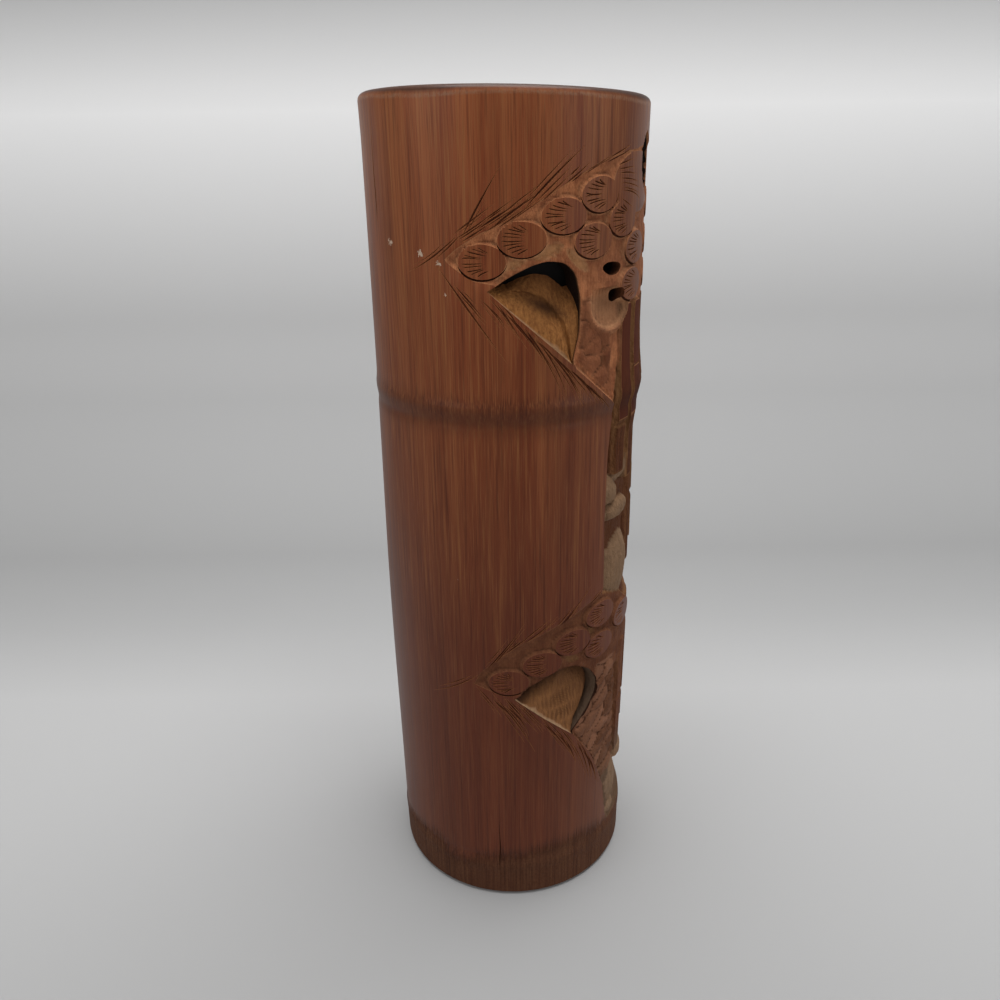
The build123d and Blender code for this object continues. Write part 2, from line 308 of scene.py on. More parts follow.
scoops = (  # leaf shaped gouges: two end points, half width, depth; the deep one is on one side only
    ((93.5, 250.5), (82.6, 254.4), 1.4, 1.2), ((81.0, 253.9), (68.4, 257.6), 1.9, 1.4),
    ((67.6, 256.4), (57.6, 249.2), 1.8, 1.2),
    ((19.0, 289.0), (14.5, 269.0), 7.0, 8.0), ((66.0, 111.5), (58.0, 109.0), 1.6, 0.8),
    ((53.0, 120.5), (49.5, 118.0), 1.6, 0.8),
)


# pierced windows under each canopy: a slanted floor that breaks through along its upper edge

windows = (  # floor: place along the arch, depth of the floor there, width of the gap beside the arch
    dict(outer=(97.6, 244.6), inner=(64.7, 220.6),
         arch=((97.6, 244.6), (89.6, 248.6), (82.2, 251.6), (75.4, 253.1), (68.2, 252.3), (63.4, 248.8),
               (61.3, 241.9), (61.0, 236.3), (61.8, 229.0), (64.7, 220.6)),
         floor=((0.0, 0.5, 0.0), (0.05, 6.0, 1.4), (0.13, 8.8, 2.8), (0.26, 8.9, 3.4), (0.38, 8.9, 3.8),
                (0.46, 8.9, 3.6), (0.52, 8.9, 3.0), (0.57, 8.4, 2.2), (0.62, 6.6, 1.4), (0.67, 4.2, 0.5),
                (0.73, 2.2, 0.0), (0.85, 1.4, 0.0), (1.0, 1.2, 0.0)),
         flute=0.10, fluteStep=2.6, crease=1.2),
    dict(outer=(89.2, 96.9), inner=(61.6, 76.4),
         arch=((89.2, 96.9), (80.9, 102.1), (72.0, 105.6), (65.0, 107.2), (59.0, 106.4), (51.5, 102.6),
               (46.6, 96.4), (47.0, 91.0), (52.1, 84.6), (61.6, 76.4)),
         floor=((0.0, 0.5, 0.0), (0.06, 4.6, 0.0), (0.2, 6.0, 0.0), (0.36, 6.4, 0.0), (0.44, 8.6, 1.0),
                (0.52, 8.8, 1.6), (0.60, 7.0, 0.6), (0.68, 6.2, 0.0), (0.9, 5.0, 0.0), (1.0, 2.2, 0.0)),
         flute=0.5, fluteStep=1.7, crease=0.0),
)


def unrolled(places):  # angle and height to length along the skin and height
    return np.array(places, float) * (degree, 1.0)


def ovalOffset(arc, z, angle, height, wide, tall):  # 1 on the edge of an oval, 0 in its middle
    return np.sqrt(((arc - angle * degree) / wide) ** 2 + ((z - height) / tall) ** 2)


def insidePatch(arc, z, corners):  # least distance inside a convex patch, mm, negative outside
    points = unrolled(corners)
    middle = points.mean(axis=0)
    least = np.full(np.shape(arc), 1e3)
    for a, b in zip(points, np.roll(points, -1, axis=0)):
        along = (b - a) / np.linalg.norm(b - a)
        across = np.array((-along[1], along[0]))
        if np.dot(middle - a, across) < 0.0:
            across = -across
        least = np.minimum(least, (arc - a[0]) * across[0] + (z - a[1]) * across[1])
    return least


# cells round scattered points, each with its own height and tilt and a groove along its border
def brokenBark(s, z, trunk):
    table = np.random.default_rng(17).uniform(-1.0, 1.0, (64, 64, 4))
    along = (z * np.sin(trunk["lean"]) - s * np.cos(trunk["lean"])) / trunk["long"] + 40.0
    beside = (z * np.cos(trunk["lean"]) + s * np.sin(trunk["lean"])) / trunk["wide"] + 40.0
    least, second = np.full(np.shape(s), 9.0), np.full(np.shape(s), 9.0)
    level, face = np.zeros(np.shape(s)), np.zeros(np.shape(s))
    for i in (-1, 0, 1):
        for j in (-1, 0, 1):
            column, row = np.floor(along).astype(int) + i, np.floor(beside).astype(int) + j
            cell = table[column % 64, row % 64]
            ahead = along - column - 0.5 - 0.36 * cell[..., 0]
            across = beside - row - 0.5 - 0.36 * cell[..., 1]
            far = np.hypot(ahead, across)
            nearer = far < least
            second = np.where(nearer, least, np.minimum(second, far))
            level = np.where(nearer, cell[..., 2], level)
            face = np.where(nearer, cell[..., 3] * ahead - 0.8 * across, face)
            least = np.minimum(least, far)
    groove = trunk["groove"] * easeIn(second - least, 0.38, 0.0)
    depth = trunk["top"] + trunk["uneven"] * level + trunk["tilt"] * face + groove
    return depth, level


# depth under the skin in mm, negative where the skin stays; the sides mirror each other but for the rocks
# and the deep gouge
def carvedDepth(arc, z, marks=None):
    s = np.abs(arc)
    angle = s / degree
    c = carving
    grain = 0.14 * ripple(arc, z, 6.0, key=3) + 0.10 * np.abs(ripple(arc, z, 3.0, key=8))
    depth = np.full(s.shape, c["keep"])
    for field in (crown, canopy):
        fall = (follow(angle, field["top"]) - z) * c["topSlope"]
        rise = (z - follow(angle, field["sill"])) * follow(angle, c["sillSlope"])
        depth = np.maximum(depth, np.minimum(np.minimum(fall, rise), c["ground"] + grain))
    side = (follow(z, c["panelEdge"]) - angle) * degree * c["panelWall"]
    sill = (z - follow(angle, c["panelBottom"])) * c["panelSill"]
    inPanel = np.minimum(side, np.minimum(sill, (c["panelTop"] - z) * c["panelHead"]))
    side = (c["basePanelAngle"] - angle) * degree * c["basePanelWall"]
    sill = (z - c["basePanelBottom"]) * c["basePanelRise"]
    inBase = np.minimum(side, np.minimum(sill, (c["basePanelTop"] - z) * c["panelHead"]))
    for panel in (inPanel, inBase):
        depth = np.maximum(depth, np.minimum(panel, c["panelDepth"] + 2.0 * grain))
    bark, broken = np.zeros(s.shape), np.zeros(s.shape)
    for trunk in trunks:
        inside = easeIn(insidePatch(s, z, trunk["corners"]), 0.0, 0.8)
        barkDepth, level = brokenBark(s, z, trunk)
        depth = np.where(depth > 0.3, depth + (barkDepth + 0.5 * grain - depth) * inside, depth)
        bark, broken = np.maximum(bark, inside), np.where(inside > 0.0, level * inside, broken)
    # stalks stand in the panel, sunk a little below the node; one each side is rounded
    strip = np.zeros(s.shape)
    for k in range(c["stalkCount"] // 2 + 1):
        beside = np.abs(s - k * c["stalkPitch"] * degree)
        joint = bell((z + c["jointShift"] * k) % c["stalkJoint"] - 0.5 * c["stalkJoint"], 0.8)
        half = c["stalkHalf"] + 0.4 * joint + 0.25 * np.sin(z / 11.0 + k)
        stalk = np.maximum((beside - half) * 3.0, 0.9 * joint - 0.6)
        if k == 1:
            stalk = np.maximum(stalk, 0.25 + 0.6 * (beside / half) ** 2)
        low, top = c["stalkEnds"][k], c["stalkTop"]
        off = np.maximum(easeIn(z, low + 2.0, low), easeIn(z, top, top + 4.0))
        ends = off * c["gone"] + c["stalkSink"] * easeIn(z, c["sinkFrom"], c["sinkTo"])
        # shorter ones stand behind the rocks of the base panel, the second with a groove above its rock
        if k < len(c["baseStalkFeet"]):
            low, top = c["baseStalkFeet"][k], c["baseStalkTop"]
            groove = (k == 1) * 1.3 * bell(z - c["baseGroove"], 1.8)
            off = np.maximum(easeIn(z, low + 1.5, low), easeIn(z, top, top + 4.0))
            level = stalk + c["baseStalkSink"] + groove + off * c["gone"]
            depth = np.minimum(depth, np.where(z < c["between"], level, c["away"]))
        # faces of the stalks, for the finish
        strip = np.where(stalk + ends < np.minimum(depth, 0.8 + c["stalkSink"]), 1.0, strip)
        depth = np.minimum(depth, stalk + ends)
    stone = np.zeros(s.shape)
    warp, twist = 0.5 * ripple(s, z, 9.0, key=5), 0.5 * ripple(s, z, 11.0, key=6)
    for rockAngle, height, wide, tall, crest, shoulder, slope in rocks:  # boulders with seven flat sides
        across, up = (-arc - rockAngle * degree + warp) / wide, (z - height + twist) / tall
        turn = np.random.default_rng(int(height * 7 + wide))
        ways = np.linspace(0.0, 2.0 * np.pi, 7, endpoint=False) + turn.uniform(-0.35, 0.35, 7)
        off = np.zeros(s.shape)
        for way, far in zip(ways, turn.uniform(0.78, 1.05, 7)):
            off = np.maximum(off, (across * np.cos(way) + up * np.sin(way)) / far)
        ribs = 0.18 * np.abs(np.sin((s * 0.9 + z * 0.35) / 1.1))
        facets = 0.6 * np.abs(across * slope + up) * easeIn(off, 0.05, 0.5) + ribs
        rock = crest + (c["panelDepth"] + 1.0 - crest) * off ** (1.4 * shoulder) + facets + 0.5 * grain
        stone = np.where(rock < depth, easeIn(off, 1.3, 0.9), stone)
        depth = np.minimum(depth, rock)
    # a gouged bowl with a raised lip under the crown, beside the trunk
    off = ovalOffset(s, z, bowl["angle"], bowl["height"], bowl["wide"], bowl["tall"])
    below = easeIn(z, bowl["top"], bowl["top"] - 4.0)
    ribs = 0.35 * np.abs(np.sin(s * 1.9 + 0.4 * np.sin(z * 0.6)))
    hollow = 1.0 + 1.7 * np.clip(1.0 - off ** 2, 0.0, 1.0) + ribs
    depth = np.where((off < 0.94) & (z < bowl["top"]), np.maximum(np.minimum(depth, 2.6), hollow), depth)
    lip = 0.35 + 12.0 * np.maximum(np.abs(off - 1.02) - 0.06, 0.0) + 9.0 * (1.0 - below)
    depth = np.minimum(depth, lip)
    stone = np.maximum(stone, 0.35 * easeIn(off, 1.12, 1.06) * below)
    bark = bark * easeIn(off, 0.98, 1.12)
    scooped = np.zeros(s.shape)
    for first, last, half, deep in scoops:
        a, b = unrolled(first), unrolled(last)
        run = (b - a) / np.linalg.norm(b - a)
        mid, reach = 0.5 * (a + b), 0.5 * np.linalg.norm(b - a)
        along = ((s - mid[0]) * run[0] + (z - mid[1]) * run[1]) / reach
        beside = ((z - mid[1]) * run[0] - (s - mid[0]) * run[1]) / half
        both = (deep < 5.0) | (arc < 0.0)
        tilt = 0.75 + 0.25 * np.clip(beside, -1.0, 1.0)
        leaf = both * easeIn(1.0 - along ** 2 - np.abs(beside) ** 1.5, 0.0, 0.35) * tilt
        depth = depth + deep * leaf
        scooped = np.maximum(scooped, leaf)
    # the lobe of a fan beside the highest disc keeps the skin, and so do the discs
    off = ovalOffset(s, z, fanLobe["angle"], fanLobe["height"], fanLobe["wide"], fanLobe["tall"])
    lobe = np.maximum((off - 1.0) * 5.0, -0.4)
    depth = np.minimum(depth, np.where(scooped < 0.02, lobe, c["away"]))
    for field in (crown, canopy):
        for discAngle, height in field["discs"] + field["middle"]:
            off = ovalOffset(s, z, discAngle, height, c["discWide"], c["discTall"])
            disc = (off - 1.0) * c["discEdge"] * c["discTall"]
            depth = np.minimum(depth, np.where(off < 2.0, disc, c["away"]))
    # shallower round the front of the crown
    shallow = c["frontDepth"] + 0.05 * np.maximum(angle - c["frontAngle"], 0.0)
    depth = np.where((z > c["stalkTop"]) & (depth < 2.0), np.minimum(depth, shallow), depth)
    # inside the windows their own floors take over
    for window in windows:
        inside = insidePatch(s, z, window["arch"])
        depth = np.where(inside > 0.8, c["keep"], depth)
    if marks is not None:
        marks.update(stone=stone, bark=bark, strip=strip, scooped=scooped, panel=easeIn(inPanel, 0.0, 1.5),
                     broken=broken)
    return depth


def carvedGround():  # floor and roof of the carving as grids over angle and height
    c = carving
    columns = int(2.0 * c["reach"] * degree / c["step"]) + 1
    rows = int((c["high"] - c["low"]) / c["step"]) + 1
    arc = np.linspace(-c["reach"], c["reach"], columns)[None, :] * degree
    z = np.linspace(c["low"], c["high"], rows)[:, None]
    arc, z = np.broadcast_arrays(arc, z)
    turn = arc / culm["radius"]
    skin = skinRadius(turn, z)
    return slab("carvedGround", onCulm(turn, skin - carvedDepth(arc, z), z),
                onCulm(turn, skin + c["roof"], z), cutKinds["ground"], cutKinds["ground"])


# short upright gouges in rows, each row a little along from the next, strongest in mid floor
def fluted(arc, z, step):
    s, tall = np.abs(arc), 6.4
    row = np.floor(z / tall)
    stroke = np.abs(np.sin((s + 0.35 * ripple(s, z, 8.0, key=14)) * np.pi / step + 2.1 * row)) ** 1.5
    stroke = stroke * np.sqrt(np.abs(np.sin(np.pi * (z / tall - row))))
    return stroke * (0.2 + 0.8 * np.exp(-((s / degree - 67.0) / 10.0) ** 2 - ((z - 89.0) / 8.0) ** 2))


# rulings run from the sill to the arch; each one falls from the skin to the floor's depth at the arch
def carvedWindow(window, side, name):
    along = np.linspace(0.0, 1.0, 96)[:, None]
    across = np.linspace(0.0, 1.0, 40)[None, :]
    arch = unrolled(window["arch"])
    length = np.concatenate([[0.0], np.cumsum(np.linalg.norm(np.diff(arch, axis=0), axis=1))])
    bow = np.stack([np.interp(along * length[-1], length, arch[:, k]) for k in range(2)], axis=-1)
    for _ in range(8):  # averaging rounds the corners of the arch
        bow[1:-1] = 0.25 * bow[:-2] + 0.5 * bow[1:-1] + 0.25 * bow[2:]
    start, end = unrolled(window["outer"]), unrolled(window["inner"])
    sill = start + (end - start) * along[..., None]
    sill = sill + np.array((0.02, -0.03)) * (1.0 - 2.0 * along[..., None])  # keeps the two ends apart
    place = sill + (bow - sill) * across[..., None]
    arc, z = place[..., 0], place[..., 1]
    size = np.linalg.norm(bow - sill, axis=-1)
    spots, deeps, gaps = np.array(window["floor"]).T
    deep, gap = np.interp(along, spots, deeps), np.interp(along, spots, gaps)
    gap = np.minimum(gap, 0.6 * size)
    share = across * size / np.maximum(size - gap, 0.1)
    grain = 0.5 * ripple(arc, z * 0.5, 5.0, key=12)
    marks = window["flute"] * (fluted(arc, z, window["fluteStep"]) + grain)
    # the lower half dips behind the upper
    ledge = window["crease"] * easeIn(share, 0.2, 0.5) * easeIn(share, 0.55, 0.5) * easeIn(along, 0.1, 0.3)
    depth = 0.25 + deep * share ** 1.15 + (marks + ledge) * easeIn(share, 0.0, 0.12)
    depth = np.minimum(depth, culm["wall"] + 2.2)
    turn = side * arc / culm["radius"]
    skin = skinRadius(turn, z)
    floor, roof = onCulm(turn, skin - depth, z), onCulm(turn, skin + 3.0, z)
    return slab(name, floor, roof, cutKinds["floor"], cutKinds["wall"])


# angle, height, width, height of the hole
eyelets = dict(a=(44.5, 249.0, 8.5, 4.2), b=(41.0, 240.4, 5.0, 4.4))


def eyelet(angle, height, wide, tall, side, name):  # an oval drilled straight in
    sides = 24
    ring = np.arange(sides)
    lap = ring * 2.0 * np.pi / sides
    wobble = 1.0 + 0.08 * np.sin(2.0 * lap + angle) + 0.05 * np.sin(3.0 * lap)
    arc = angle * degree + 0.5 * wide * wobble * np.cos(lap)
    z = height + 0.5 * tall * wobble * np.sin(lap)
    turn = side * arc / culm["radius"]
    rings = np.array([culm["radius"] + 3.0, culm["radius"] - 2.0, culm["bore"] - 2.0])[:, None]
    flare = np.array([1.25, 1.0, 0.8])[:, None]
    middle = side * angle * degree / culm["radius"]
    spot = onCulm(middle + (turn - middle) * flare, rings, height + (z - height) * flare)
    centres = onCulm(np.array([middle, middle]), rings[[0, -1], 0], np.array([height, height]))
    points = np.concatenate([spot.reshape(-1, 3), centres])
    quads = gridQuads(len(rings), sides, wrapColumns=True)
    after = (ring + 1) % sides
    lastRing, centre = ring + (len(rings) - 1) * sides, len(rings) * sides
    first = np.stack([after, ring, np.full(sides, centre)], axis=1)
    last = np.stack([lastRing, lastRing[after], np.full(sides, centre + 1)], axis=1)
    return makeMesh(name, points, quads, np.concatenate([first, last]), cutKinds["hole"])


# fine V cuts: fan strokes on the discs, pine needles, a drying crack

needles = dict(width=0.74, depth=0.38, stations=9)


# a V profile carried along each path and narrowed towards its ends
def sweepCut(paths, widths, depths, name, rise=0.3, fall=0.55):
    count, stations = paths.shape[:2]
    t = np.linspace(0.0, 1.0, stations)
    taper = np.clip(np.minimum(t / rise, (1.0 - t) / fall), 0.08, 1.0) ** 0.8
    run = np.gradient(paths, axis=1)
    run /= np.linalg.norm(run, axis=-1, keepdims=True)
    across = np.stack([-run[..., 1], run[..., 0]], axis=-1)
    deep = depths[:, None] * taper
    above = 0.3
    half = 0.5 * widths[:, None] * taper * (1.0 + above / np.maximum(deep, 0.05))
    places = np.stack([paths - across * half[..., None], paths, paths + across * half[..., None]], axis=2)
    turn = places[..., 0] / culm["radius"]
    skin = skinRadius(turn, places[..., 1])
    lift = np.stack([np.full(deep.shape, above), -deep, np.full(deep.shape, above)], axis=2)
    points = onCulm(turn, skin + lift, places[..., 1])
    cell = gridQuads(stations, 3, wrapColumns=True)
    base = (np.arange(count) * stations * 3)[:, None, None]
    quads = (cell[None] + base).reshape(-1, 4)
    firstEnd = np.array([[2, 1, 0]])[None] + base
    lastEnd = np.array([[0, 1, 2]])[None] + base + (stations - 1) * 3
    tris = np.concatenate([firstEnd, lastEnd]).reshape(-1, 3)
    return makeMesh(name, points, quads, tris, cutKinds["stroke"])


def bowedPaths(starts, ends, bend):  # from start to end with a sideways bow of bend times the length
    t = np.linspace(0.0, 1.0, needles["stations"])[None, :, None]
    starts, ends = np.asarray(starts, float), np.asarray(ends, float)
    run = ends - starts
    side = np.stack([-run[:, 1], run[:, 0]], axis=1)
    bow = side[:, None] * np.asarray(bend)[:, None, None] * (4.0 * t * (1.0 - t))
    return starts[:, None] + run[:, None] * t + bow


def bothSides(paths):  # the same paths again on the other side of the front line
    return np.concatenate([paths, paths * (-1.0, 1.0)])


# strokes from the rim of each disc to the middle, drawing together like the ribs of a shell
def fanStrokes():
    wide, tall = carving["discWide"], carving["discTall"]
    across, up, count = 0.88, 0.86, 10  # they start just inside the rim
    lines = []
    for field in (crown, canopy):
        for angle, height in field["discs"]:
            lap = np.radians(np.linspace(-76.0, 82.0, count)) + seed.normal(0.0, 0.03, count)
            rim = np.stack([across * np.cos(lap), up * np.sin(lap)], axis=1)
            end = np.stack([seed.normal(-0.08, 0.07, count) - 0.2 * np.sin(lap) ** 2,
                            0.58 * rim[:, 1] + seed.normal(0.0, 0.02, count)], axis=1)
            lines.append(np.stack([rim, end], axis=1) * (wide, tall) + (angle * degree, height))
    lines = np.concatenate(lines)
    paths = bothSides(bowedPaths(lines[:, 0], lines[:, 1], seed.normal(0.0, 0.03, len(lines))))
    top = []
    for field in (crown, canopy):
        for angle, height in field["middle"]:
            lap = np.radians(np.linspace(14.0, 166.0, 9))
            rim = np.stack([across * wide * np.cos(lap), height + up * tall * np.sin(lap)], axis=1)
            aim = np.array((0.0, height - 0.3 * tall))
            top.append(np.stack([rim, rim + (aim - rim) * 0.6], axis=1))
    top = np.concatenate(top)
    paths = np.concatenate([paths, bowedPaths(top[:, 0], top[:, 1], np.zeros(len(top)))])
    widths = seed.uniform(0.4, 0.56, len(paths))
    return paths, widths, 0.7 * widths


def discOutlines():  # a stop cut round the lower half of each disc
    t = np.linspace(0.0, 1.0, 17)
    paths = []
    for field in (crown, canopy):
        for mirror, group in ((1, field["discs"]), (-1, field["discs"]), (1, field["middle"])):
            for angle, height in group:
                lap = np.radians(-185.0 + 190.0 * t)
                x = mirror * (angle * degree + 1.05 * carving["discWide"] * np.cos(lap))
                paths.append(np.stack([x, height + 1.07 * carving["discTall"] * np.sin(lap)], axis=1))
    paths = np.array(paths)
    return paths, np.full(len(paths), 0.7), np.full(len(paths), 1.4)


# angle, first and last height, width
crackLines = ((87.8, 35.0, 10.0, 0.6), (126.0, 166.0, 141.0, 0.42), (104.0, 30.0, 14.5, 0.3),
              (-150.0, 296.0, 262.0, 0.5), (168.0, 120.0, 86.0, 0.4), (-97.0, 40.0, 12.5, 0.45))


def cracks():  # drying cracks run straight up the grain with a small wander
    t = np.linspace(0.0, 1.0, 17)
    paths, widths = [], []
    for angle, first, last, wide in crackLines:
        paths.append(np.stack([angle * degree + 0.25 * np.sin(t * 9.0 + angle) * t,
                               first + (last - first) * t], axis=1))
        widths.append(wide)
    widths = np.array(widths)
    return np.array(paths), widths, 2.6 * widths


def pineNeedles():  # each needle of the two canopies with shorter ones fanned out beside it
    lines, shares = [], []
    for field in (crown, canopy):
        for root, tip, copies in field["needles"]:
            root, tip = unrolled(root), unrolled(tip)
            run = tip - root
            across = np.array((-run[1], run[0])) / np.linalg.norm(run)
            lines.append((root, tip))
            shares.append(1.0)
            for k in range(copies):
                aside = across * seed.uniform(0.6, 1.0) * (1 + k // 2) * (1 - 2 * (k % 2))
                first, last = seed.uniform(0.0, 0.3), seed.uniform(0.6, 1.1)
                lines.append((root + run * first + aside, root + run * last + 1.3 * aside))
                shares.append(seed.uniform(0.5, 0.9))
        for firstRoot, lastRoot, firstTip, lastTip, count in field["fringe"]:
            share = (np.linspace(0.0, 1.0, count) + seed.normal(0.0, 0.35 / count, count))[:, None]
            root = unrolled(np.array(firstRoot) * (1.0 - share) + np.array(lastRoot) * share)
            tip = unrolled(np.array(firstTip) * (1.0 - share) + np.array(lastTip) * share)
            long = seed.uniform(0.5, 1.15, (count, 1))
            tip = root + (tip - root) * long + seed.normal(0.0, 0.5, (count, 2))
            lines += list(zip(root, tip))
            shares += list(seed.uniform(0.6, 1.1, count))
    for root, tip in fanLobe["strokes"]:
        lines.append((unrolled(root), unrolled(tip)))
        shares.append(0.8)
    lines, shares = np.array(lines), np.array(shares)
    hangs = lines[:, 1, 1] < lines[:, 0, 1]
    bend = np.where(hangs, -0.035, 0.0) + seed.normal(0.0, 0.015, len(lines))
    paths = bothSides(bowedPaths(lines[:, 0], lines[:, 1], bend))
    shares = np.where(hangs, 0.92, 1.05) * shares  # bolder along the upper borders
    widths = np.tile(needles["width"] * shares * seed.uniform(0.8, 1.2, len(lines)), 2)
    return paths, widths, needles["depth"] * widths / needles["width"]


# shares crossing cuts out among several cutters, so that none meets another in its own
def sortCuts(paths, widths, depths, label, **ends):
    groups = []
    for k in range(len(paths)):
        for group in groups:
            gap = np.linalg.norm(paths[group][:, :, None] - paths[k][None, None], axis=-1).min(axis=(1, 2))
            if np.all(gap > 1.3 * (widths[group] + widths[k])):
                group.append(k)
                break
        else:
            groups.append([k])
    return [sweepCut(paths[g], widths[g], depths[g], f"{label}{i}", **ends) for i, g in enumerate(groups)]


culmPiece = buildCulm()
print("culm: plain wall", len(culmPiece.data.vertices))
cutters = [carvedGround()]
for side in (1, -1):
    cutters += [carvedWindow(w, side, f"window{side}{k}") for k, w in enumerate(windows)]
    cutters += [eyelet(*place, side, f"eyelet{side}{key}") for key, place in eyelets.items()]
cutters += sortCuts(*fanStrokes(), "stroke", rise=0.12, fall=0.35)
cutters += sortCuts(*discOutlines(), "outline", rise=0.25, fall=0.25)
cutters += sortCuts(*cracks(), "crack", rise=0.6, fall=0.2)
cutters += sortCuts(*pineNeedles(), "needle")
print("culm: cutters", [c.name for c in cutters])
bakeCuts(culmPiece, cutters)
print("culm: carved", len(culmPiece.data.vertices), len(culmPiece.data.polygons))


floorShadows = dict(  # painted shadows on the window floors: under the crease of the upper, under the arch of the lower
    angle=75.0, wide=9.0, start=75.8, height=239.2, slope=0.335, tall=2.4, low=(70.0, 110.0),
    arch=((46.0, 97.0), (59.0, 106.4), (65.0, 107.2), (72.0, 105.6), (80.9, 102.1), (89.2, 96.9)),
    reach=6.0)


def finishCulm(piece):  # depth under the skin at each point, and sharp edges where skin meets a cut
    mesh = piece.data
    points = np.empty(len(mesh.vertices) * 3, np.float32)
    mesh.vertices.foreach_get("co", points)
    x, y, z = (points.reshape(-1, 3) / mm).T
    turn = np.arctan2(x, -y)
    radius = np.hypot(x, y)
    depth = skinRadius(turn, np.minimum(z, culm["height"] - culm["lip"])) - radius
    # steepness and hollowness of the carved ground, from its depth round each point
    arc = turn * culm["radius"]
    marks = {}
    carvedDepth(arc, z, marks)
    ring, diagonal, tiny = 1.3, 0.9, 0.35
    around = [(ring * a, ring * b) for a, b in ((1, 0), (-1, 0), (0, 1), (0, -1))]
    around += [(diagonal * a, diagonal * b) for a, b in ((1, 1), (-1, 1), (1, -1), (-1, -1))]
    spread = np.zeros(len(x))
    for dx, dz in around:
        spread += np.maximum(carvedDepth(arc + dx, z + dz), 0.0) / len(around)
    close = ((tiny, 0.0), (-tiny, 0.0), (0.0, tiny), (0.0, -tiny))
    near = [np.maximum(carvedDepth(arc + dx, z + dz), 0.0) for dx, dz in close]
    steep = np.hypot(near[0] - near[1], near[2] - near[3]) / (2.0 * tiny)
    shares = dict(cutDepth=depth, hollow=np.clip((depth - spread) / 0.55, -1.0, 1.0),
                  steep=np.clip(steep / 1.6, 0.0, 1.0))
    shares.update(marks)
    shares["rim"] = culm["height"] + sawCut(turn) - z  # distance under the sawn edge
    # painted shadows on the window floors, under the crease of the upper and under the arch of the lower
    angle = np.abs(arc) / degree
    line = z - floorShadows["height"] + floorShadows["slope"] * (floorShadows["start"] - angle)
    shares["paintedShadow"] = np.exp(-((angle - floorShadows["angle"]) / floorShadows["wide"]) ** 2
                              - (line / floorShadows["tall"]) ** 2)
    low = (z > floorShadows["low"][0]) & (z < floorShadows["low"][1])
    under = np.maximum(follow(angle, floorShadows["arch"]) - z, 0.0)
    shares["paintedShadow"] += low * np.exp(-(under / floorShadows["reach"]) ** 3) * easeIn(angle, 52.0, 64.0)
    # the lower floor's flutes, also used to paint shade into their troughs
    shares["flute"] = low * fluted(arc, z, windows[1]["fluteStep"])
    for name, values in shares.items():
        mesh.attributes.new(name, "FLOAT", "POINT").data.foreach_set("value", values.astype(np.float32))
    mesh.set_sharp_from_angle(angle=np.radians(32.0))


finishCulm(culmPiece)
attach(culmPiece, "vase")
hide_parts("culm_wall")


# materials

def tint(r, g, b):  # screen colour to linear
    c = np.array((r, g, b), float) / 255.0
    c = np.where(c <= 0.04045, c / 12.92, ((c + 0.055) / 1.055) ** 2.4)
    return (*c, 1.0)


class Finish:  # a material under construction
    def __init__(self, name):
        self.material = bpy.data.materials.new(name)
        self.material.use_nodes = True
        self.tree = self.material.node_tree
        self.shader = self.tree.nodes["Principled BSDF"]

    def add(self, kind, **settings):
        node = self.tree.nodes.new("ShaderNode" + kind)
        for key, value in settings.items():
            setattr(node, key, value)
        return node

    def put(self, socket, value):
        if isinstance(value, bpy.types.NodeSocket):
            self.tree.links.new(value, socket)
        else:
            socket.default_value = value

    def give(self, name, value):
        self.put(self.shader.inputs[name], value)

    def noise(self, scale, detail=3.0, rough=0.55):  # scale is given for each axis, in features per metre
        coord = self.add("TexCoord")
        mapping = self.add("Mapping")
        self.put(mapping.inputs["Vector"], coord.outputs["Object"])
        self.put(mapping.inputs["Scale"], scale)
        noise = self.add("TexNoise")
        self.put(noise.inputs["Vector"], mapping.outputs["Vector"])
        self.put(noise.inputs["Scale"], 1.0)
        self.put(noise.inputs["Detail"], detail)
        self.put(noise.inputs["Roughness"], rough)
        return noise.outputs["Fac"]

    def axis(self, name):  # place along an axis of the piece, in metres
        coord = self.add("TexCoord")
        split = self.add("SeparateXYZ")
        self.put(split.inputs[0], coord.outputs["Object"])
        return split.outputs[name]

    def attribute(self, name):
        return self.add("Attribute", attribute_name=name).outputs["Fac"]

    def ramp(self, fac, low, high, start=0.0, end=1.0, smooth=False):
        node = self.add("MapRange", interpolation_type="SMOOTHSTEP" if smooth else "LINEAR")
        for socket, value in zip(node.inputs, (fac, low, high, start, end)):
            self.put(socket, value)
        return node.outputs[0]

    def mix(self, fac, first, second):
        node = self.add("Mix", data_type="RGBA")
        for index, value in ((0, fac), (6, first), (7, second)):
            self.put(node.inputs[index], value)
        return node.outputs[2]

    def blend(self, value, low, high, first, second):  # from one colour to the other between two values
        return self.mix(self.ramp(value, low, high), first, second)

    def stain(self, colour, fac, amount, shade):  # part of the way to a shade, where fac says
        return self.mix(fac, colour, self.mix(amount, colour, shade))

    def reckon(self, operation, first, second):
        node = self.add("Math", operation=operation)
        self.put(node.inputs[0], first)
        self.put(node.inputs[1], second)
        return node.outputs[0]

    def plus(self, first, second):
        return self.reckon("ADD", first, second)

    def times(self, first, second):
        return self.reckon("MULTIPLY", first, second)

    def spot(self, place, radius):  # 1 in the middle of a ball, 0 on its surface; place in mm
        coord = self.add("TexCoord")
        far = self.add("VectorMath", operation="DISTANCE")
        self.put(far.inputs[0], coord.outputs["Object"])
        self.put(far.inputs[1], tuple(p * mm for p in place))
        return self.ramp(far.outputs["Value"], radius * mm, 0.0)

    def bump(self, height, distance, strength=1.0, normal=None):
        node = self.add("Bump")
        self.put(node.inputs["Strength"], strength)
        self.put(node.inputs["Distance"], distance)
        self.put(node.inputs["Height"], height)
        if normal is not None:
            self.put(node.inputs["Normal"], normal)
        return node.outputs["Normal"]


flecks = (  # chips of pale filler on the skin: angle from the front, height, radius
    (140.4, 257.6, 3.4), (124.0, 255.2, 3.2), (116.3, 252.4, 2.6), (113.9, 243.3, 1.4), (113.0, 145.3, 1.2),
    (109.8, 146.2, 1.2))


